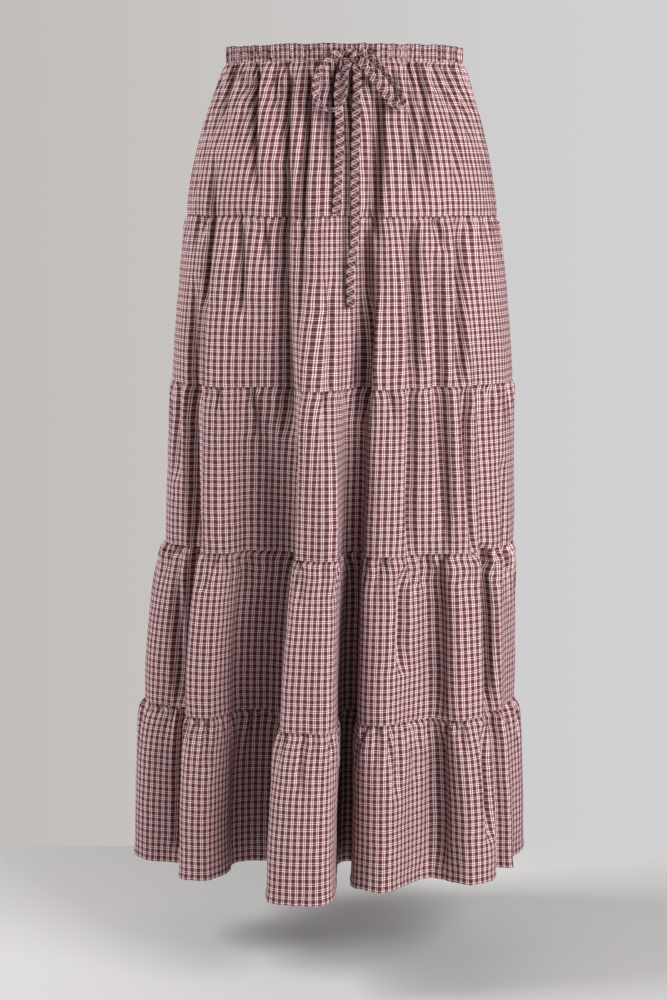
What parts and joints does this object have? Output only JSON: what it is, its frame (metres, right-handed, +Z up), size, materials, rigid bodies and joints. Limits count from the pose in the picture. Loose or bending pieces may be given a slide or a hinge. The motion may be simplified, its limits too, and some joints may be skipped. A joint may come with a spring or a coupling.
{
  "type": "tiered ruffle skirt",
  "caption": "Long worn skirt of gathered ruffle tiers in a small check, hollow and open at waist and hem, with an elasticated waistband and a drawstring tied in a bow.",
  "frame": {"origin": "middle of the waistband, where the wearer's waist holds the skirt", "axes": "+Z up along the body, -Y is the front of the skirt, +X is to the right as seen from the front (the wearer's left)"},
  "size_m": [0.4915, 0.4244, 0.997],
  "materials": {
    "skirt_cloth": "light plain-weave check, matt",
    "waistband_cloth": "the same cloth, gathered over elastic",
    "drawstring_cloth": "the same cloth cut on the bias and folded into a flat tie"
  },
  "bodies": {
    "root": {"waistband_front": "waistband_cloth", "waistband_back": "waistband_cloth", "tier_1_front": "skirt_cloth", "tier_1_back": "skirt_cloth", "tier_2_front": "skirt_cloth", "tier_2_back": "skirt_cloth", "tier_3_front": "skirt_cloth", "tier_3_back": "skirt_cloth", "tier_4_front": "skirt_cloth", "tier_4_back": "skirt_cloth", "tier_5_front": "skirt_cloth", "tier_5_back": "skirt_cloth", "bow_knot": "drawstring_cloth", "bow_loop_left": "drawstring_cloth", "bow_loop_right": "drawstring_cloth", "tie_end_short": "drawstring_cloth", "tie_end_long": "drawstring_cloth"}
  },
  "joints": []
}
